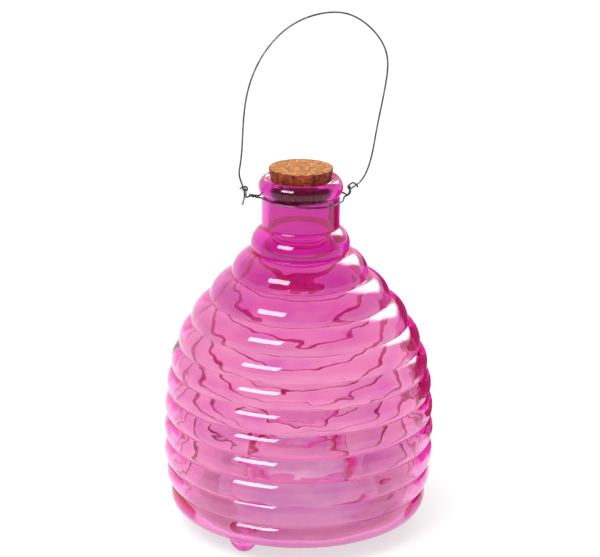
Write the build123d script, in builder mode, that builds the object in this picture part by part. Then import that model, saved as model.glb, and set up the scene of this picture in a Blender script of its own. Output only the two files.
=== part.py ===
"""Hanging glass wasp trap, modelled as its real separate pieces.

A ribbed, bell-shaped glass jar stands on three fused glass feet. Its base is open: the floor turns
up inside the jar into a funnel, so that a ring-shaped trough is left for the bait. A tapered cork
closes the mouth. A wire is twisted round the neck, and a wire bail hangs in its two eyes.

Units are millimetres. +Z is up, the jar's axis is Z, and the feet stand on Z = 0.
"""

import os
from math import cos, exp, hypot, pi, radians, sin

from build123d import *

os.makedirs("parts", exist_ok=True)

# Glass jar: heights and the bell-shaped envelope that the grooves between the ribs lie on
FOOT_HEIGHT = 8.8
RIB_COUNT = 12
RIB_PITCH = 12.6
NECK_BASE_Z = FOOT_HEIGHT + RIB_COUNT * RIB_PITCH
NECK_R = 19.9
BELLY_R = 67.9
BELL_DROP = 42.3  # distance below the neck over which the bell spreads
BELL_POWER = 1.85
TUCK_Z = 40.2  # the wall draws in below this height
TUCK = 8.1
RIB_BULGE = 0.185  # a rib's sagitta as a share of its chord
BASE_RIB_BULGE = 0.29
WALL_NECK = 3.6
WALL_BELLY = 2.1  # the glass is blown out thinner lower down
WALL_CHANGE_Z = 118.0  # the wall is half way between the two here
WALL_CHANGE_SPAN = 26.0
INNER_BULGE = 0.12  # the blown inside follows the ribs only softly

# Neck, lip and mouth
LIP_BOTTOM_Z = 177.0
LIP_R = 21.5
LIP_WIDEST_Z = 181.4
LIP_TOP_Z = 185.8
LIP_CREST_R = 17.4
LIP_CREST = 0.25  # height of the rolled crest over the edges beside it
SEAT_DROP = 1.2  # the cork's seat starts this far below the lip's top
SEAT_DEPTH = 3.4
NECK_BORE_R = 16.6
NECK_BORE_MARGIN = 0.7  # the bore runs on this far past both ends of the neck

# Base and entry funnel
FLOOR = 2.2
BASE_INNER_R = 43.5
TROUGH_CORNER = 2.0  # how far inside the base's edge and funnel the flat of the trough ends
ENTRY_R = 24.0
THROAT_HEIGHT = 4.0  # the straight top of the funnel
FUNNEL_WALL = 1.8
FUNNEL_TOP_Z = 43.0

# Feet
FOOT_CIRCLE_R = 51.6
FOOT_R = 7.6
FOOT_FLAT_R = 2.4
FOOT_ANGLES = {"foot_front_left": 238, "foot_right": 358, "foot_rear_left": 118}

# Cork
CORK_HEIGHT = 16.1
CORK_TOP_R = 16.4
CORK_BOTTOM_R = 13.7
CORK_BOTTOM_Z = 174.8
CORK_EDGE = 0.5
CORK_CLEARANCE = 0.05

# Wires: one gauge for the neck wire and the bail
WIRE_R = 0.45
WIRE_TURN = 8.4  # degrees that the eyes are turned about the neck from the X axis
HINGE_Z = 178.3
NECK_WIRE_SLACK = 0.15
NECK_WIRE_R = NECK_R + WIRE_R + NECK_WIRE_SLACK  # to the middle of the wire
STRAND_R = 0.5  # a strand's distance from the middle of its twist
LEFT_TURNS = 1
STRAND_POINTS = 13
LEFT_EYE_X = -28.4
LEFT_EYE_R = 2.1
RIGHT_EYE_X = 25.2
RIGHT_EYE_R = 1.5


def envelope(z):
    """Radius of the bell on which the grooves lie, at height z."""
    spread = exp(-(((NECK_BASE_Z - z) / BELL_DROP) ** BELL_POWER))
    radius = BELLY_R - (BELLY_R - NECK_R) * spread
    if z < TUCK_Z:
        radius -= TUCK * ((TUCK_Z - z) / (TUCK_Z - FOOT_HEIGHT)) ** 2
    return radius


def groove(index):
    """Point (r, z) of a groove, counted down from 0 at the foot of the neck."""
    z = NECK_BASE_Z - index * RIB_PITCH
    return (envelope(z), z)


def wall(z):
    """Thickness of the blown wall at height z."""
    share = min(1, max(0, (z - WALL_CHANGE_Z) / WALL_CHANGE_SPAN + 0.5))
    return WALL_BELLY + (WALL_NECK - WALL_BELLY) * share * share * (3 - 2 * share)


def inner_groove(index):
    """The same point on the inside of the wall, one wall thickness in from the bell."""
    radius, z = groove(index)
    step = RIB_PITCH / 4
    slope = (envelope(z + step) - envelope(z - step)) / (2 * step)
    depth = wall(z) / hypot(1, slope)
    return (radius - depth, z + depth * slope)


def rib_arc(start, end, bulge):
    """Arc that bulges away from the axis between two points of the outline, run downwards."""
    chord = hypot(end[0] - start[0], end[1] - start[1])
    return SagittaArc(start, end, chord * bulge)


def cork_radius(z):
    """Radius of the tapered cork at height z."""
    share = (z - CORK_BOTTOM_Z) / CORK_HEIGHT
    return CORK_BOTTOM_R + (CORK_TOP_R - CORK_BOTTOM_R) * share


# ---------------------------------------------------------------- glass jar
seat_top_z = LIP_TOP_Z - SEAT_DROP
seat_bottom_z = seat_top_z - SEAT_DEPTH
seat_top = (cork_radius(seat_top_z) + CORK_CLEARANCE, seat_top_z)
seat_bottom = (cork_radius(seat_bottom_z) + CORK_CLEARANCE, seat_bottom_z)
lip_crest = (LIP_CREST_R, LIP_TOP_Z + LIP_CREST)
lip_shoulder = (NECK_R - 3 * LIP_CREST, LIP_TOP_Z - LIP_CREST)
lip_bottom = (NECK_R, LIP_BOTTOM_Z)
neck_bore_top = (NECK_BORE_R, LIP_BOTTOM_Z + NECK_BORE_MARGIN)
neck_bore_bottom = (NECK_BORE_R, NECK_BASE_Z - NECK_BORE_MARGIN)
base_edge = groove(RIB_COUNT)
base_inner = (BASE_INNER_R, FOOT_HEIGHT)
floor_z = FOOT_HEIGHT + FLOOR
trough_edge = (base_edge[0] - TROUGH_CORNER, floor_z)
trough_inner = (BASE_INNER_R + TROUGH_CORNER, floor_z)
funnel_out_r = ENTRY_R + FUNNEL_WALL
rim_z = FUNNEL_TOP_Z - FUNNEL_WALL / 2
throat_z = rim_z - THROAT_HEIGHT

with BuildPart() as glass_body:
    with BuildSketch(Plane.XZ):
        with BuildLine():
            # Outside, from the mouth down: lip, neck and ribs
            ThreePointArc(seat_top, lip_crest, lip_shoulder)
            ThreePointArc(lip_shoulder, (LIP_R, LIP_WIDEST_Z), lip_bottom)
            Line(lip_bottom, groove(0))
            for rib in range(RIB_COUNT - 1):
                rib_arc(groove(rib), groove(rib + 1), RIB_BULGE)
            rib_arc(groove(RIB_COUNT - 1), base_edge, BASE_RIB_BULGE)
            # Underside of the base, and the funnel up to its rim
            Line(base_edge, base_inner)
            Spline(base_inner, (ENTRY_R, throat_z), tangents=((-1, 0), (0, 1)))
            Line((ENTRY_R, throat_z), (ENTRY_R, rim_z))
            ThreePointArc(
                (ENTRY_R, rim_z),
                (ENTRY_R + FUNNEL_WALL / 2, FUNNEL_TOP_Z),
                (funnel_out_r, rim_z),
            )
            Line((funnel_out_r, rim_z), (funnel_out_r, throat_z))
            Spline((funnel_out_r, throat_z), trough_inner, tangents=((0, -1), (1, 0)))
            Line(trough_inner, trough_edge)
            # Inside, back up the ribs to the mouth
            rib_arc(inner_groove(RIB_COUNT - 1), trough_edge, BASE_RIB_BULGE)
            for rib in range(1, RIB_COUNT - 1):
                rib_arc(inner_groove(rib), inner_groove(rib + 1), INNER_BULGE)
            rib_arc(neck_bore_bottom, inner_groove(1), INNER_BULGE)
            Line(neck_bore_bottom, neck_bore_top)
            Line(neck_bore_top, seat_bottom)
            Line(seat_bottom, seat_top)
        make_face()
    revolve(axis=Axis.Z)
glass_body.part.label = "glass_body"
export_step(glass_body.part, "parts/glass_body.step")


# ---------------------------------------------------------------- fused glass feet
def build_foot(label, angle):
    """One gob of glass, flattened where it stands, fused under the base ring."""
    turn = radians(angle)
    centre = (FOOT_CIRCLE_R * cos(turn), FOOT_CIRCLE_R * sin(turn), 0)
    with BuildPart() as foot:
        with BuildSketch(Plane.XZ):
            with BuildLine():
                Line((0, 0), (FOOT_FLAT_R, 0))
                Spline((FOOT_FLAT_R, 0), (FOOT_R, FOOT_HEIGHT), tangents=((1, 0.3), (0, 1)))
                Line((FOOT_R, FOOT_HEIGHT), (0, FOOT_HEIGHT))
                Line((0, FOOT_HEIGHT), (0, 0))
            make_face()
        revolve(axis=Axis.Z)
    placed = foot.part.moved(Location(centre))
    placed.label = label
    export_step(placed, f"parts/{label}.step")


for foot_name, foot_angle in FOOT_ANGLES.items():
    build_foot(foot_name, foot_angle)


# ---------------------------------------------------------------- cork
with BuildPart(Plane.XY.offset(CORK_BOTTOM_Z)) as cork_stopper:
    Cone(
        CORK_BOTTOM_R,
        CORK_TOP_R,
        CORK_HEIGHT,
        align=(Align.CENTER, Align.CENTER, Align.MIN),
    )
    fillet(cork_stopper.edges().filter_by(GeomType.CIRCLE), CORK_EDGE)
cork_stopper.part.label = "cork_stopper"
export_step(cork_stopper.part, "parts/cork_stopper.step")


# ---------------------------------------------------------------- neck wire
# Both wires are drawn in the frame of the eyes, whose X axis is the bail's hinge line.
eye_frame = Plane(origin=(0, 0, 0), x_dir=(cos(radians(WIRE_TURN)), sin(radians(WIRE_TURN)), 0))

# The wire is not level round the neck: (angle in degrees, height) where it lies on the glass and
# where it leaves it on its way to an eye
FRONT_LEFT, FRONT, FRONT_RIGHT = (202, 176.2), (270, 175.0), (336, 173.8)
REAR_RIGHT, REAR, REAR_LEFT = (24, 176.0), (90, 176.1), (158, 176.2)

LEFT_TWIST = ((-22.5, 176.2), (-26.2, 176.9))
FRONT_STRAND = 0.25  # phase, in turns, of the strand that comes round the front of the neck
REAR_STRAND = 0.75


def strand(phase):
    """Points of one strand of the twisted pair at the left, from the neck outwards."""
    (x0, z0), (x1, z1) = LEFT_TWIST
    points = []
    for i in range(STRAND_POINTS):
        share = i / (STRAND_POINTS - 1)
        angle = 2 * pi * (phase + LEFT_TURNS * share)
        x = x0 + (x1 - x0) * share
        z = z0 + (z1 - z0) * share
        points.append((x, STRAND_R * cos(angle), z - STRAND_R * sin(angle)))
    return points


def neck_point(place):
    """The middle of the wire at a place round the neck."""
    turn = radians(place[0])
    return (NECK_WIRE_R * cos(turn), NECK_WIRE_R * sin(turn), place[1])


def eye_ring(x, radius, start, end, shift, count):
    """Points round an eye, by angle in degrees from its lowest point towards -Y."""
    points = []
    for i in range(count):
        share = i / (count - 1)
        angle = radians(start + (end - start) * share)
        step = shift * (share - 0.5)
        points.append((x + step, -radius * sin(angle), HINGE_Z - radius * cos(angle)))
    return points


# A short cut end hangs below the left eye; the wire then runs once round the eye and into the twist
left_tail = [(-29.8, -0.6, 172.0), (-29.3, 0.1, 173.8)]
left_eye = eye_ring(LEFT_EYE_X, LEFT_EYE_R, 325, 28, 0.4, 13)
left_eye_end = [(-27.3, -0.3, 176.0)]
right_eye_start = [(21.4, -3.0, 173.9), (22.6, -0.4, 174.95), (23.8, 0.6, 175.0)]
right_eye = eye_ring(RIGHT_EYE_X, RIGHT_EYE_R, -50, -320, 0, 10)
right_eye_end = [(24.1, -0.3, 175.7), (22.9, 0.25, 176.05), (21.5, 2.3, 176.2)]

UNIT = (1, 1)  # both end tangents of a spline at their own length

with BuildLine(eye_frame) as neck_path:
    front_arc = ThreePointArc(neck_point(FRONT_LEFT), neck_point(FRONT), neck_point(FRONT_RIGHT))
    rear_arc = ThreePointArc(neck_point(REAR_RIGHT), neck_point(REAR), neck_point(REAR_LEFT))
    Spline(
        *left_tail,
        *left_eye,
        *left_eye_end,
        *reversed(strand(FRONT_STRAND)),
        neck_point(FRONT_LEFT),
        tangents=((0.2, 0.2, 1), front_arc % 0),
        tangent_scalars=UNIT,
    )
    Spline(
        neck_point(FRONT_RIGHT),
        *right_eye_start,
        *right_eye,
        *right_eye_end,
        neck_point(REAR_RIGHT),
        tangents=(front_arc % 1, rear_arc % 0),
        tangent_scalars=UNIT,
    )
    Spline(
        neck_point(REAR_LEFT),
        *strand(REAR_STRAND),
        tangents=(rear_arc % 1, (-1, 0.8, 0.2)),
        tangent_scalars=UNIT,
    )


def build_wire(label, path):
    """A round wire bent along a path."""
    with BuildPart() as wire:
        with BuildSketch(Plane(origin=path @ 0, z_dir=path % 0)):
            Circle(WIRE_R)
        sweep(path=path)
    wire.part.label = label
    export_step(wire.part, f"parts/{label}.step")


build_wire("neck_wire", neck_path.wires()[0])


# ---------------------------------------------------------------- bail
# The bail is a lopsided hand-bent loop; each end is hooked through an eye and bent round itself.
LEFT_HOOK_R = 1.15
RIGHT_HOOK_R = 1.1
RIGHT_HOOK_LENGTH = 1.8
RIGHT_HOOK_TILT = 40  # degrees that the long right hook leans outwards
CROSSING = 0.98  # how far in front of the standing wire a cut end passes


def hook_arc(centre, radius, turn, depth, count):
    """Points of a slightly coiled arc; turn in degrees from +X to +Z, depth along -Y."""
    points = []
    for i in range(count):
        share = i / (count - 1)
        angle = radians(turn[0] + (turn[1] - turn[0]) * share)
        y = -(depth[0] + (depth[1] - depth[0]) * share)
        points.append((centre[0] + radius * cos(angle), y, centre[1] + radius * sin(angle)))
    return points


left_hook_centre = (LEFT_EYE_X, HINGE_Z + LEFT_EYE_R)
right_hook_centre = (RIGHT_EYE_X, HINGE_Z + RIGHT_EYE_R)
right_hook_far = (
    RIGHT_EYE_X + RIGHT_HOOK_LENGTH * cos(radians(RIGHT_HOOK_TILT)),
    right_hook_centre[1] + RIGHT_HOOK_LENGTH * sin(radians(RIGHT_HOOK_TILT)),
)
left_cut_end = [(-31.2, -CROSSING, 180.5), (-30.2, -CROSSING, 181.3)]
left_hook = hook_arc(left_hook_centre, LEFT_HOOK_R, (85, -180), (0.8, 0), 10)
bail_loop = [
    (-29.9, 0, 182.3),
    (-31.3, 0, 187.0),
    (-30.9, 0, 193.0),
    (-29.7, 0, 208.0),
    (-27.4, 0, 229.5),
    (-19.9, 0, 248.2),
    (-6.0, 0, 262.9),
    (8.9, 0, 268.8),
    (22.4, 0, 268.5),
    (35.1, 0, 260.4),
    (42.4, 0, 248.5),
    (42.3, 0, 232.0),
    (37.9, 0, 207.0),
    (34.2, 0, 189.3),
    (30.2, 0, 182.2),
]
right_hook = hook_arc(
    right_hook_centre, RIGHT_HOOK_R, (RIGHT_HOOK_TILT - 90, RIGHT_HOOK_TILT - 270), (0, 0.5), 7
)
right_turn = hook_arc(
    right_hook_far, RIGHT_HOOK_R, (RIGHT_HOOK_TILT + 75, RIGHT_HOOK_TILT + 20), (0.75, 0.95), 3
)
right_cut_end = [(28.6, -CROSSING, 180.6), (28.9, -CROSSING, 179.6)]
bail_points = left_cut_end + left_hook + bail_loop + right_hook + right_turn + right_cut_end

with BuildLine(eye_frame) as bail_path:
    Spline(*reversed(bail_points))

build_wire("bail_wire", bail_path.wires()[0])
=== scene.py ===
"""Looks for the glass wasp trap: blown pink glass, granular cork and dull wire, in a white studio.

Lengths inside the shape sections are millimetres and are turned into metres where meshes are made.
"""

from math import atan2, cos, exp, hypot, pi, radians, sin, tan

import bmesh
import bpy
from mathutils import Matrix, Vector, noise


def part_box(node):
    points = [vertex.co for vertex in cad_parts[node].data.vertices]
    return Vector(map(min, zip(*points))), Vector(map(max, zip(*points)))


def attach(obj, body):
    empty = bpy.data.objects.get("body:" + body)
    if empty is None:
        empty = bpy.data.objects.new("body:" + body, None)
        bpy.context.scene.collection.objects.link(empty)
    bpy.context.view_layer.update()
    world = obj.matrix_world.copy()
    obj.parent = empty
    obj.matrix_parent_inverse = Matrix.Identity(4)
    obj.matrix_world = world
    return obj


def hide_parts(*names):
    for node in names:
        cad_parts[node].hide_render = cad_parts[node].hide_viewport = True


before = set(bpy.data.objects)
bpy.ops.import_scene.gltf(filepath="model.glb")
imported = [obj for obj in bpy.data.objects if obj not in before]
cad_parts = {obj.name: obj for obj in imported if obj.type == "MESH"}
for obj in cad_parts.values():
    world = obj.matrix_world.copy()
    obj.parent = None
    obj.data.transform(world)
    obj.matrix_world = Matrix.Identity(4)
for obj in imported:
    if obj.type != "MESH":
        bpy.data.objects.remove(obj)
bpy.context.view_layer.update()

MM = 0.001


def mm_box(node):
    """Lowest and highest corners of a CAD node, in millimetres."""
    low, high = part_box(node)
    return low / MM, high / MM


glass_low, glass_high = mm_box("glass_body")
cork_low, cork_high = mm_box("cork_stopper")

# ------------------------------------------------------------------ glass proportions
FOOT_HEIGHT = glass_low.z
RIB_COUNT = 12
RIB_PITCH = 12.6
NECK_BASE_Z = FOOT_HEIGHT + RIB_COUNT * RIB_PITCH
NECK_R = 19.9
BELLY_R = 67.9
BELL_DROP = 42.3
BELL_POWER = 1.85
TUCK_Z = 40.2
TUCK = 8.1
RIB_BULGE = 0.185
BASE_RIB_BULGE = 0.29
WALL_NECK = 3.6
WALL_BELLY = 2.1
WALL_CHANGE_Z = 118.0  # the wall is half way between the two here
WALL_CHANGE_SPAN = 26.0
INNER_BULGE = 0.12
LIP_BOTTOM_Z = 177.0
LIP_CREST = 0.25  # height of the rolled crest over the edges beside it
LIP_CREST_R = 17.4
LIP_TOP_Z = glass_high.z - LIP_CREST
LIP_BULGE = 0.235
SEAT_DROP = 1.2  # the cork's seat starts this far below the lip's top
SEAT_DEPTH = 3.4
NECK_BORE_R = 16.6
NECK_BORE_MARGIN = 0.7
TROUGH_CORNER = 2.0
FLOOR = 2.2
BASE_INNER_R = 43.5
ENTRY_R = 24.0
FUNNEL_WALL = 1.8
FUNNEL_TOP_Z = 43.0
THROAT_HEIGHT = 4.0  # the straight top of the funnel
FLARE = 12.0  # how strongly the funnel's curve holds its direction at each end
CORK_GAP = 0.05
BORE_FOOT_RISE = 4.0  # the bore runs straight down to this height over the neck's base
BORE_FLARE_IN = 3.0  # the curve below the bore: first handle inwards and upwards
BORE_FLARE_UP = 5.0
BORE_FLARE_DOWN = 3.0  # and its second handle, below the neck's base

AROUND = 360  # columns of faces round the jar
RIB_STEPS = 16  # rows of faces down one rib


def envelope(z):
    """Radius of the bell on which the grooves lie."""
    if z >= NECK_BASE_Z:
        return NECK_R
    spread = exp(-(((NECK_BASE_Z - z) / BELL_DROP) ** BELL_POWER))
    radius = BELLY_R - (BELLY_R - NECK_R) * spread
    if z < TUCK_Z:
        radius -= TUCK * ((TUCK_Z - z) / (TUCK_Z - FOOT_HEIGHT)) ** 2
    return radius


def groove(index):
    z = NECK_BASE_Z - index * RIB_PITCH
    return (envelope(z), z)


def wall(z):
    """Thickness of the blown wall, deepest at the neck."""
    share = min(1, max(0, (z - WALL_CHANGE_Z) / WALL_CHANGE_SPAN + 0.5))
    return WALL_BELLY + (WALL_NECK - WALL_BELLY) * share * share * (3 - 2 * share)


def inner_groove(index):
    radius, z = groove(index)
    step = RIB_PITCH / 4
    slope = (envelope(z + step) - envelope(z - step)) / (2 * step)
    length = hypot(1, slope)
    thickness = wall(z)
    return (radius - thickness / length, z + thickness * slope / length)


def arc(start, end, bulge, steps):
    """Points of an arc from start up to, but not including, end; bulge is outwards from the axis."""
    chord = hypot(end[0] - start[0], end[1] - start[1])
    sagitta = chord * bulge
    radius = (chord * chord / 4 + sagitta * sagitta) / (2 * sagitta)
    side = (-(end[1] - start[1]) / chord, (end[0] - start[0]) / chord)
    if side[0] < 0:
        side = (-side[0], -side[1])
    depth = radius - sagitta
    centre = (
        (start[0] + end[0]) / 2 - side[0] * depth,
        (start[1] + end[1]) / 2 - side[1] * depth,
    )
    first = atan2(start[1] - centre[1], start[0] - centre[0])
    last = atan2(end[1] - centre[1], end[0] - centre[0])
    if last - first > pi:
        last -= 2 * pi
    if first - last > pi:
        last += 2 * pi
    points = []
    for i in range(steps):
        share = (1 - cos(pi * i / steps)) / 2  # closer together at the ends, where grooves are
        angle = first + (last - first) * share
        points.append((centre[0] + radius * cos(angle), centre[1] + radius * sin(angle)))
    return points


def three_point_arc(start, middle, end, steps):
    """The same through a middle point."""
    chord = hypot(end[0] - start[0], end[1] - start[1])
    side = (middle[0] - (start[0] + end[0]) / 2, middle[1] - (start[1] + end[1]) / 2)
    return arc(start, end, hypot(*side) / chord, steps)


def line(start, end, steps):
    return [
        (start[0] + (end[0] - start[0]) * i / steps, start[1] + (end[1] - start[1]) * i / steps)
        for i in range(steps)
    ]


def curve(start, start_handle, end_handle, end, steps):
    """Bezier points from start up to, but not including, end."""
    points = []
    for i in range(steps):
        t = i / steps
        a, b, c, d = (1 - t) ** 3, 3 * t * (1 - t) ** 2, 3 * t * t * (1 - t), t**3
        points.append(
            tuple(a * start[k] + b * start_handle[k] + c * end_handle[k] + d * end[k] for k in (0, 1))
        )
    return points


def cork_radius(z):
    """Radius of the cork's cone, from the CAD cork's box."""
    share = (z - cork_low.z) / (cork_high.z - cork_low.z)
    return CORK_BOTTOM_R + (CORK_TOP_R - CORK_BOTTOM_R) * share


CORK_BOTTOM_R = 13.7
CORK_TOP_R = 16.4


def glass_outline():
    """Closed outline of the jar's wall as (r, z, inside), outside first, from the mouth down."""
    seat_top_z = LIP_TOP_Z - SEAT_DROP
    seat_low_z = seat_top_z - SEAT_DEPTH
    seat_top = (cork_radius(seat_top_z) + CORK_GAP, seat_top_z)
    seat_low = (cork_radius(seat_low_z) + CORK_GAP, seat_low_z)
    shoulder = (NECK_R - 3 * LIP_CREST, LIP_TOP_Z - LIP_CREST)
    lip_bottom = (NECK_R, LIP_BOTTOM_Z)
    base_edge = groove(RIB_COUNT)
    floor_z = FOOT_HEIGHT + FLOOR
    trough_edge = (base_edge[0] - TROUGH_CORNER, floor_z)
    trough_inner = (BASE_INNER_R + TROUGH_CORNER, floor_z)
    rim_z = FUNNEL_TOP_Z - FUNNEL_WALL / 2
    throat_z = rim_z - THROAT_HEIGHT
    bore_top = (NECK_BORE_R, LIP_BOTTOM_Z + NECK_BORE_MARGIN)
    bore_low = (NECK_BORE_R, NECK_BASE_Z + BORE_FOOT_RISE)

    outside = three_point_arc(seat_top, (LIP_CREST_R, LIP_TOP_Z + LIP_CREST), shoulder, 6)
    outside += arc(shoulder, lip_bottom, LIP_BULGE, 20)
    outside += line(lip_bottom, groove(0), 12)
    for rib in range(RIB_COUNT - 1):
        outside += arc(groove(rib), groove(rib + 1), RIB_BULGE, RIB_STEPS)
    outside += arc(groove(RIB_COUNT - 1), base_edge, BASE_RIB_BULGE, RIB_STEPS)
    outside += line(base_edge, (BASE_INNER_R, FOOT_HEIGHT), 8)
    outside += curve(
        (BASE_INNER_R, FOOT_HEIGHT),
        (BASE_INNER_R - FLARE, FOOT_HEIGHT),
        (ENTRY_R, throat_z - FLARE),
        (ENTRY_R, throat_z),
        20,
    )
    outside += line((ENTRY_R, throat_z), (ENTRY_R, rim_z), 4)
    inside = three_point_arc(
        (ENTRY_R, rim_z),
        (ENTRY_R + FUNNEL_WALL / 2, FUNNEL_TOP_Z),
        (ENTRY_R + FUNNEL_WALL, rim_z),
        8,
    )
    inside += line((ENTRY_R + FUNNEL_WALL, rim_z), (ENTRY_R + FUNNEL_WALL, throat_z), 4)
    inside += curve(
        (ENTRY_R + FUNNEL_WALL, throat_z),
        (ENTRY_R + FUNNEL_WALL, throat_z - FLARE),
        (trough_inner[0] - FLARE, floor_z),
        trough_inner,
        20,
    )
    inside += line(trough_inner, trough_edge, 8)
    inside += arc(trough_edge, inner_groove(RIB_COUNT - 1), BASE_RIB_BULGE, RIB_STEPS)
    for rib in range(RIB_COUNT - 1, 1, -1):
        inside += arc(inner_groove(rib), inner_groove(rib - 1), INNER_BULGE, RIB_STEPS)
    foot_of_bore = inner_groove(1)
    inside += curve(
        foot_of_bore,
        (foot_of_bore[0] - BORE_FLARE_IN, foot_of_bore[1] + BORE_FLARE_UP),
        (NECK_BORE_R, NECK_BASE_Z - BORE_FLARE_DOWN),
        bore_low,
        RIB_STEPS,
    )
    inside += line(bore_low, bore_top, 12)
    inside += line(bore_top, seat_low, 4)
    inside += line(seat_low, seat_top, 6)
    return [(r, z, False) for r, z in outside] + [(r, z, True) for r, z in inside]


def lump(point, scale, seed):
    """Smooth noise of about -1 to 1 at a point in millimetres."""
    shifted = Vector((point.x / scale[0], point.y / scale[0], point.z / scale[1]))
    return noise.noise(shifted + Vector((seed, seed * 0.7, seed * 1.3)))


INNER_RIPPLE = 0.35  # height of the ripples inside, in millimetres
FUNNEL_RIPPLE = 2.5  # how many times stronger the ripple is on the funnel
FUNNEL_REACH_R = 38.0  # the funnel lies inside this radius
OUTER_RIPPLE = 0.03  # and outside
CALM = 0.2  # share of the ripple left in the neck
CALM_FROM_Z = NECK_BASE_Z + 4  # the ripple fades out up to here
CALM_SPAN = 12  # over this height
BASE_FADE = 6  # and it fades to nothing over this height above the feet


def glass_push(point, inside):
    """How far the blown surface strays from its outline, in millimetres outwards."""
    fade = min(1, max(0, (CALM_FROM_Z - point.z) / CALM_SPAN)) * (1 - CALM) + CALM
    if point.z < FOOT_HEIGHT + BASE_FADE:
        fade *= max(0, (point.z - FOOT_HEIGHT) / BASE_FADE)
    if not inside:
        return OUTER_RIPPLE * lump(point, (30, 20), 3) * fade
    ripple = 0.8 * lump(point, (20, 7), 11) + 0.45 * lump(point, (9, 3.5), 23)
    ripple += 0.07 * lump(point, (3.5, 2.5), 37)
    if point.z < FUNNEL_TOP_Z + 1 and hypot(point.x, point.y) < FUNNEL_REACH_R:
        ripple *= FUNNEL_RIPPLE
    return INNER_RIPPLE * ripple * fade


def flash_depth(r, z):
    """How deeply a place's surface is flashed with colour, from 0 on the funnel to 1 at the neck."""
    if z < FUNNEL_TOP_Z + 1 and r < BASE_INNER_R:
        return 0.0
    rise = min(1, max(0, (z - DEEP_FROM_Z) / (NECK_BASE_Z - DEEP_FROM_Z)))
    return BODY_DEPTH + (1 - BODY_DEPTH) * rise * rise * (3 - 2 * rise)


def spun_mesh(name, outline, columns, push=None):
    """A closed surface made by spinning a closed outline round the axis."""
    mesh = bpy.data.meshes.new(name)
    rows = len(outline)
    verts = []
    for column in range(columns):
        angle = 2 * pi * column / columns
        across = Vector((cos(angle), sin(angle), 0))
        for r, z, inside in outline:
            point = across * r + Vector((0, 0, z))
            if push:
                point += across * push(point, inside)
            verts.append(point * MM)
    faces = []
    for column in range(columns):
        other = (column + 1) % columns
        for row in range(rows):
            below = (row + 1) % rows
            faces.append(
                (
                    column * rows + row,
                    column * rows + below,
                    other * rows + below,
                    other * rows + row,
                )
            )
    mesh.from_pydata(verts, [], faces)
    depth = mesh.attributes.new("flash_depth", "FLOAT", "POINT")
    depth.data.foreach_set("value", [flash_depth(r, z) for r, z, inside in outline] * columns)
    return finish_mesh(name, mesh)


def finish_mesh(name, mesh):
    """Makes faces point outwards and shade smoothly, and links the object."""
    work = bmesh.new()
    work.from_mesh(mesh)
    bmesh.ops.recalc_face_normals(work, faces=work.faces)
    work.to_mesh(mesh)
    work.free()
    for polygon in mesh.polygons:
        polygon.use_smooth = True
    piece = bpy.data.objects.new(name, mesh)
    bpy.context.scene.collection.objects.link(piece)
    return piece


# ------------------------------------------------------------------ materials
def new_material(name):
    material = bpy.data.materials.new(name)
    material.use_nodes = True
    tree = material.node_tree
    tree.nodes.clear()
    return material, tree, tree.nodes.new("ShaderNodeOutputMaterial")


def node(tree, kind, **settings):
    """Adds a node. Settings name its properties, or its inputs when they start with in_."""
    made = tree.nodes.new(kind)
    for key, value in settings.items():
        if key.startswith("in_"):
            slot = key[3:]
            made.inputs[int(slot) if slot.isdigit() else slot.replace("_", " ")].default_value = value
        else:
            setattr(made, key, value)
    return made


def ramp(tree, stops, interpolation="LINEAR"):
    made = tree.nodes.new("ShaderNodeValToRGB")
    made.color_ramp.interpolation = interpolation
    elements = made.color_ramp.elements
    while len(elements) < len(stops):
        elements.new(0.5)
    for element, (place, colour) in zip(elements, stops):
        element.position = place
        element.color = (*colour, 1)
    return made


def smooth_range(tree, value, source, target):
    made = node(tree, "ShaderNodeMapRange", interpolation_type="SMOOTHSTEP")
    for name, number in zip(("From Min", "From Max", "To Min", "To Max"), source + target):
        made.inputs[name].default_value = number
    tree.links.new(value, made.inputs["Value"])
    return made.outputs["Result"]


def math(tree, operation, first, second):
    made = node(tree, "ShaderNodeMath", operation=operation)
    for slot, value in zip(made.inputs, (first, second)):
        if isinstance(value, (int, float)):
            slot.default_value = value
        else:
            tree.links.new(value, slot)
    return made.outputs[0]


def blend(tree, share, first, second):
    """A mix of two colours, each a fixed colour or another node's output."""
    made = node(tree, "ShaderNodeMix", data_type="RGBA")
    tree.links.new(share, made.inputs["Factor"])
    for letter, colour in (("A", first), ("B", second)):
        if isinstance(colour, tuple):
            made.inputs[letter].default_value = (*colour, 1)
        else:
            tree.links.new(colour, made.inputs[letter])
    return made.outputs["Result"]


GLASS_IOR = 1.47
GLASS_TINT = (0.99, 0.40, 0.90)  # absorption colour of the glass
GLASS_DEPTH = 0.0052  # path in metres over which that absorption acts once
CLEAR_COAT = (1.0, 1.0, 1.0)
BODY_COAT = (0.87, 0.65, 0.69)  # what two crossings of the surface keep on the body
NECK_COAT = (0.73, 0.11, 0.55)  # and at the neck, where the glass is deepest
LILAC_PATCH = (0.91, 0.76, 0.97)  # tint of the faint purple clouds in the glass
BODY_DEPTH = 0.4
DEEP_FROM_Z = 107.0


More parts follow.
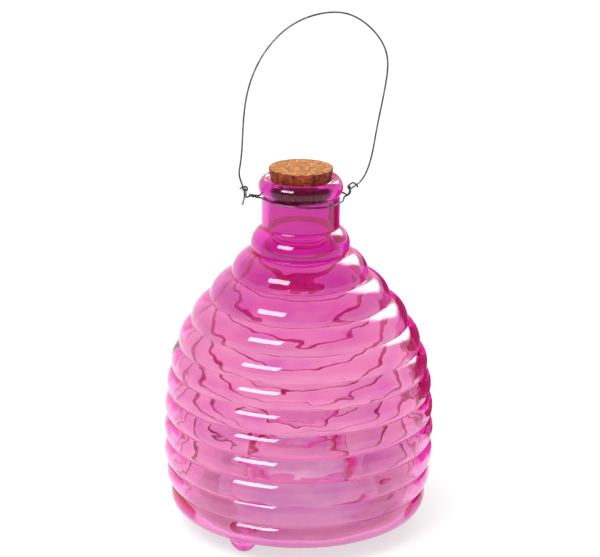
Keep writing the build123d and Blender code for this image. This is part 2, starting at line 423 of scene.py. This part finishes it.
def glass_material():
    material, tree, output = new_material("pink_blown_glass")
    links = tree.links
    coords = node(tree, "ShaderNodeTexCoord")
    ripple = node(tree, "ShaderNodeTexNoise", in_Scale=55.0, in_Detail=2.0, in_Roughness=0.4)
    stretch = node(tree, "ShaderNodeMapping")
    stretch.inputs["Scale"].default_value = (1, 1, 1.6)
    links.new(coords.outputs["Object"], stretch.inputs["Vector"])
    links.new(stretch.outputs["Vector"], ripple.inputs["Vector"])
    bump = node(tree, "ShaderNodeBump", in_Strength=0.02, in_Distance=0.002)
    links.new(ripple.outputs["Fac"], bump.inputs["Height"])
    smudge = node(tree, "ShaderNodeTexNoise", in_Scale=22.0, in_Detail=5.0)
    links.new(coords.outputs["Object"], smudge.inputs["Vector"])
    rough = node(tree, "ShaderNodeMapRange", in_3=0.0, in_4=0.02)
    links.new(smudge.outputs["Fac"], rough.inputs["Value"])
    depth = node(tree, "ShaderNodeAttribute", attribute_name="flash_depth")
    coat = ramp(tree, [(0.0, CLEAR_COAT), (BODY_DEPTH, BODY_COAT), (1.0, NECK_COAT)])
    links.new(depth.outputs["Fac"], coat.inputs["Fac"])
    shader = node(tree, "ShaderNodeBsdfPrincipled", in_IOR=GLASS_IOR, in_Transmission_Weight=1.0)
    band = node(tree, "ShaderNodeMapping")
    band.inputs["Scale"].default_value = (1, 1, 2.2)
    links.new(coords.outputs["Object"], band.inputs["Vector"])
    cloud = node(tree, "ShaderNodeTexNoise", in_Scale=30.0, in_Detail=3.0, in_Roughness=0.55)
    links.new(band.outputs["Vector"], cloud.inputs["Vector"])
    lilac = ramp(tree, [(0.36, LILAC_PATCH), (0.52, (1.0, 1.0, 1.0))])
    links.new(cloud.outputs["Fac"], lilac.inputs["Fac"])
    patchy = node(tree, "ShaderNodeMix", data_type="RGBA", blend_type="MULTIPLY")
    links.new(smooth_range(tree, depth.outputs["Fac"], (0.0, BODY_DEPTH), (0.0, 1.0)),
              patchy.inputs["Factor"])
    links.new(coat.outputs["Color"], patchy.inputs["A"])
    links.new(lilac.outputs["Color"], patchy.inputs["B"])
    links.new(patchy.outputs["Result"], shader.inputs["Base Color"])
    links.new(rough.outputs["Result"], shader.inputs["Roughness"])
    links.new(bump.outputs["Normal"], shader.inputs["Normal"])
    links.new(shader.outputs["BSDF"], output.inputs["Surface"])
    absorb = node(tree, "ShaderNodeVolumeAbsorption")
    absorb.inputs["Color"].default_value = (*GLASS_TINT, 1)
    absorb.inputs["Density"].default_value = 1 / GLASS_DEPTH
    links.new(absorb.outputs["Volume"], output.inputs["Volume"])
    return material


def cork_material():
    """Fine granules on top; on the side streaked where it was turned, and darker and redder with
    painted shade and painted pink light from the glass.
    """
    material, tree, output = new_material("granular_cork")
    links = tree.links
    coords = node(tree, "ShaderNodeTexCoord")
    grains = node(tree, "ShaderNodeTexVoronoi", in_Scale=800.0, in_Randomness=1.0)
    links.new(coords.outputs["Object"], grains.inputs["Vector"])
    tone = ramp(
        tree,
        [
            (0.0, (0.09, 0.028, 0.008)),
            (0.2, (0.24, 0.085, 0.020)),
            (0.6, (0.48, 0.185, 0.048)),
            (1.0, (0.72, 0.36, 0.13)),
        ],
    )
    links.new(grains.outputs["Color"], tone.inputs["Fac"])
    stretch = node(tree, "ShaderNodeMapping")
    stretch.inputs["Scale"].default_value = (1, 1, 0.16)
    links.new(coords.outputs["Object"], stretch.inputs["Vector"])
    streaks = node(tree, "ShaderNodeTexNoise", in_Scale=420.0, in_Detail=4.0, in_Roughness=0.6)
    links.new(stretch.outputs["Vector"], streaks.inputs["Vector"])
    # Streak tone: vertical streaks, plus a darker, redder tone that is painted shade and painted pink
    # light on the side.
    streak_and_shade_tone = ramp(tree, [(0.36, (0.17, 0.05, 0.04)), (0.62, (0.78, 0.34, 0.28))])
    links.new(streaks.outputs["Fac"], streak_and_shade_tone.inputs["Fac"])
    streaked_shaded_side = node(tree, "ShaderNodeMix", data_type="RGBA", blend_type="MULTIPLY")
    streaked_shaded_side.inputs["Factor"].default_value = 1.0
    links.new(tone.outputs["Color"], streaked_shaded_side.inputs["A"])
    links.new(streak_and_shade_tone.outputs["Color"], streaked_shaded_side.inputs["B"])
    # Painted shade by facing: the top keeps the plain granules, and the side gets the darker, redder
    # mix.
    facing = node(tree, "ShaderNodeNewGeometry")
    split = node(tree, "ShaderNodeSeparateXYZ")
    links.new(facing.outputs["True Normal"], split.inputs[0])
    top = smooth_range(tree, split.outputs["Z"], (0.3, 0.8), (0.0, 1.0))
    surface = node(tree, "ShaderNodeMix", data_type="RGBA")
    links.new(top, surface.inputs["Factor"])
    links.new(streaked_shaded_side.outputs["Result"], surface.inputs["A"])
    links.new(tone.outputs["Color"], surface.inputs["B"])
    shader = node(tree, "ShaderNodeBsdfPrincipled", in_Roughness=0.85)
    links.new(surface.outputs["Result"], shader.inputs["Base Color"])
    bump = node(tree, "ShaderNodeBump", in_Strength=0.5, in_Distance=0.0004)
    links.new(grains.outputs["Distance"], bump.inputs["Height"])
    links.new(bump.outputs["Normal"], shader.inputs["Normal"])
    links.new(shader.outputs["BSDF"], output.inputs["Surface"])
    return material


def wire_material():
    material, tree, output = new_material("dull_steel_wire")
    links = tree.links
    coords = node(tree, "ShaderNodeTexCoord")
    wear = node(tree, "ShaderNodeTexNoise", in_Scale=240.0, in_Detail=4.0)
    links.new(coords.outputs["Object"], wear.inputs["Vector"])
    tone = ramp(tree, [(0.3, (0.05, 0.05, 0.05)), (0.7, (0.17, 0.17, 0.17))])
    links.new(wear.outputs["Fac"], tone.inputs["Fac"])
    shader = node(tree, "ShaderNodeBsdfPrincipled", in_Metallic=1.0)
    rough = node(tree, "ShaderNodeMapRange", in_3=0.25, in_4=0.5)
    links.new(wear.outputs["Fac"], rough.inputs["Value"])
    links.new(rough.outputs["Result"], shader.inputs["Roughness"])
    links.new(tone.outputs["Color"], shader.inputs["Base Color"])
    links.new(shader.outputs["BSDF"], output.inputs["Surface"])
    return material


def give(piece, material):
    piece.data.materials.clear()
    piece.data.materials.append(material)


# ------------------------------------------------------------------ pieces
glass = glass_material()
jar = spun_mesh("blown_glass_jar", glass_outline(), AROUND, glass_push)
give(jar, glass)
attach(jar, "jar")
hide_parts("glass_body")

FOOT_OVERLAP = 0.4


def build_foot(node_name):
    """A blunt gob of glass where the CAD foot is, sunk a little into the base."""
    low, high = mm_box(node_name)
    centre = (low + high) / 2
    root_r = (high.x - low.x) / 2
    top_z = high.z + FOOT_OVERLAP
    outline = line((0.01, 0), (2.0, 0), 4)
    outline += curve((2.0, 0), (3.8, 0.1), (root_r, 3.6), (root_r, high.z), 16)
    outline += line((root_r, high.z), (root_r - 1.0, top_z), 3)
    outline += line((root_r - 1.0, top_z), (0.01, top_z), 6)
    foot = spun_mesh(node_name + "_gob", [(r, z, False) for r, z in outline], 48)
    foot.data.transform(Matrix.Translation(Vector((centre.x, centre.y, 0)) * MM))
    give(foot, glass)
    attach(foot, "jar")
    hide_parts(node_name)


for foot_node in sorted(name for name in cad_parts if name.startswith("foot_")):
    build_foot(foot_node)

cork = cork_material()
give(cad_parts["cork_stopper"], cork)
wire = wire_material()
for wire_node in ("neck_wire", "bail_wire"):
    give(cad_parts[wire_node], wire)
    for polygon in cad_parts[wire_node].data.polygons:
        polygon.use_smooth = True


# ------------------------------------------------------------------ studio
FLOOR_GLOW = 0.6  # the floor is lit from below, which keeps shadows pale


def build_floor():
    mesh = bpy.data.meshes.new("floor")
    half = 4.0
    mesh.from_pydata(
        [(-half, -half, 0), (half, -half, 0), (half, half, 0), (-half, half, 0)], [], [(0, 1, 2, 3)]
    )
    floor = bpy.data.objects.new("floor", mesh)
    bpy.context.scene.collection.objects.link(floor)
    material, tree, output = new_material("pale_floor")
    shader = node(tree, "ShaderNodeBsdfDiffuse")
    shader.inputs["Color"].default_value = (0.5, 0.5, 0.5, 1)
    glow = node(tree, "ShaderNodeEmission", in_Strength=FLOOR_GLOW)
    both = node(tree, "ShaderNodeAddShader")
    tree.links.new(shader.outputs["BSDF"], both.inputs[0])
    tree.links.new(glow.outputs["Emission"], both.inputs[1])
    tree.links.new(both.outputs["Shader"], output.inputs["Surface"])
    give(floor, material)


def crimson_card():
    """A crimson card behind the jar to the right, seen only through the glass and mirrored in it."""
    mesh = bpy.data.meshes.new("crimson_card")
    right, depth, top = 0.30, 0.12, 0.15
    slanted_side = [(0.045, top), (0.045, 0.13), (0.066, 0.10), (0.088, 0.06), (0.088, 0.001)]
    outline = slanted_side + [(right, 0.001), (right, top)]
    mesh.from_pydata([(x, depth, z) for x, z in outline], [], [tuple(range(len(outline)))])
    card = bpy.data.objects.new("crimson_card", mesh)
    bpy.context.scene.collection.objects.link(card)
    material, tree, output = new_material("crimson_card")
    shader = node(tree, "ShaderNodeEmission")
    shader.inputs["Color"].default_value = (0.48, 0.04, 0.16, 1)
    tree.links.new(shader.outputs["Emission"], output.inputs["Surface"])
    give(card, material)
    card.visible_camera = False
    card.visible_diffuse = False
    card.visible_shadow = False


def fill_light(name, azimuth, elevation, distance, size, power):
    """An area light for the matt surfaces; azimuth from the front towards +X, in degrees."""
    data = bpy.data.lights.new(name, "AREA")
    data.size = size
    data.energy = power
    lamp = bpy.data.objects.new(name, data)
    bpy.context.scene.collection.objects.link(lamp)
    target = Vector((0, 0, 0.1))
    lamp.location = target + distance * direction(azimuth, elevation)
    lamp.rotation_euler = (target - lamp.location).to_track_quat("-Z", "Y").to_euler()
    lamp.visible_glossy = False
    lamp.visible_transmission = False
    return lamp


def direction(azimuth, elevation):
    a, e = radians(azimuth), radians(elevation)
    return Vector((sin(a) * cos(e), -cos(a) * cos(e), sin(e)))


def dot(tree, vector, fixed):
    made = node(tree, "ShaderNodeVectorMath", operation="DOT_PRODUCT")
    tree.links.new(vector, made.inputs[0])
    made.inputs[1].default_value = fixed
    return made.outputs["Value"]


def soft_window(tree, vector, azimuth, elevation, half_width, half_height, softness, strength):
    """Brightness of a soft-edged rectangular lamp seen in a direction; angles in degrees."""
    ahead = direction(azimuth, elevation)
    across = ahead.cross(Vector((0, 0, 1))).normalized()
    upward = across.cross(ahead)
    depth = math(tree, "MAXIMUM", dot(tree, vector, ahead), 0.001)
    inside = strength
    for axis, half in ((across, half_width), (upward, half_height)):
        offset = math(tree, "DIVIDE", dot(tree, vector, axis), depth)
        size = math(tree, "ABSOLUTE", offset, 0)
        reach = tan(radians(half))
        edge = tan(radians(softness)) / 2
        share = smooth_range(tree, size, (reach - edge, reach + edge), (1.0, 0.0))
        inside = math(tree, "MULTIPLY", share, inside)
    return inside


FRONT_SEEN = (0.62, 0.06, 0.55)  # the room in front as strongly bent rays meet it, in the glass
FRONT_MIRRORED = (0.50, 0.18, 0.36)  # and as it is mirrored off the outside
FRONT_LIGHT = (0.8, 0.8, 0.8)  # and as it lights matt surfaces


FRONT_WINDOW = {
    "azimuth": -38.5,
    "elevation": 30,
    "half_width": 17,
    "half_height": 9,
    "softness": 2,
    "strength": 18.0,
}
REAR_WINDOW = {
    "azimuth": 149,
    "elevation": 31,
    "half_width": 13,
    "half_height": 13,
    "softness": 12,
    "strength": 10.0,
}


def build_world():
    world = bpy.data.worlds.new("studio")
    bpy.context.scene.world = world
    world.use_nodes = True
    tree = world.node_tree
    tree.nodes.clear()
    links = tree.links
    output = tree.nodes.new("ShaderNodeOutputWorld")
    coords = node(tree, "ShaderNodeTexCoord")
    ray = coords.outputs["Generated"]
    split = node(tree, "ShaderNodeSeparateXYZ")
    links.new(ray, split.inputs[0])
    path = node(tree, "ShaderNodeLightPath")
    bent = path.outputs["Is Transmission Ray"]
    glossy = path.outputs["Is Glossy Ray"]
    mirrored = math(tree, "MULTIPLY", glossy, math(tree, "SUBTRACT", 1, bent))
    front = blend(tree, mirrored, FRONT_LIGHT, FRONT_MIRRORED)
    front = blend(tree, bent, front, FRONT_SEEN)
    behind = smooth_range(tree, split.outputs["Y"], (-0.3, 0.3), (0.0, 1.0))
    room = blend(tree, behind, front, (1.0, 1.0, 1.0))
    key = soft_window(tree, ray, **FRONT_WINDOW)
    rear = soft_window(tree, ray, **REAR_WINDOW)
    lamps = math(tree, "ADD", key, rear)
    lamps = math(tree, "MULTIPLY", lamps, mirrored)
    backdrop = node(tree, "ShaderNodeBackground")
    links.new(room, backdrop.inputs["Color"])
    lamp_light = node(tree, "ShaderNodeBackground")
    links.new(lamps, lamp_light.inputs["Strength"])
    white = node(tree, "ShaderNodeBackground", in_Strength=1.0)
    for shader in (lamp_light, white):
        shader.inputs["Color"].default_value = (1, 1, 1, 1)
    lit = node(tree, "ShaderNodeAddShader")
    links.new(backdrop.outputs[0], lit.inputs[0])
    links.new(lamp_light.outputs[0], lit.inputs[1])
    mix = node(tree, "ShaderNodeMixShader")
    links.new(path.outputs["Is Camera Ray"], mix.inputs["Fac"])
    links.new(lit.outputs[0], mix.inputs[1])
    links.new(white.outputs[0], mix.inputs[2])
    links.new(mix.outputs[0], output.inputs["Surface"])


CAMERA_DISTANCE = 1.136
CAMERA_ELEVATION = 17.77
CAMERA_ROLL = 0.57
CAMERA_LENS = 133.1
TARGET_HEIGHT = 0.1318


def build_camera():
    data = bpy.data.cameras.new("camera")
    data.lens = CAMERA_LENS
    data.sensor_width = 36
    data.clip_start = 0.01
    camera = bpy.data.objects.new("camera", data)
    bpy.context.scene.collection.objects.link(camera)
    tilt = radians(CAMERA_ELEVATION)
    camera.location = Vector(
        (0, -CAMERA_DISTANCE * cos(tilt), TARGET_HEIGHT + CAMERA_DISTANCE * sin(tilt))
    )
    aim = (Vector((0, 0, TARGET_HEIGHT)) - camera.location).to_track_quat("-Z", "Y")
    roll = Matrix.Rotation(radians(CAMERA_ROLL), 4, "Z")
    camera.matrix_world = (
        Matrix.Translation(camera.location) @ aim.to_matrix().to_4x4() @ roll
    )
    bpy.context.scene.camera = camera


build_floor()
build_world()
crimson_card()
fill_light("soft_fill", -40, 55, 1.3, 0.9, 12)
build_camera()

scene = bpy.context.scene
scene.view_settings.view_transform = "Standard"
scene.cycles.max_bounces = 48
scene.cycles.transmission_bounces = 48
scene.cycles.glossy_bounces = 48
scene.cycles.use_denoising = True
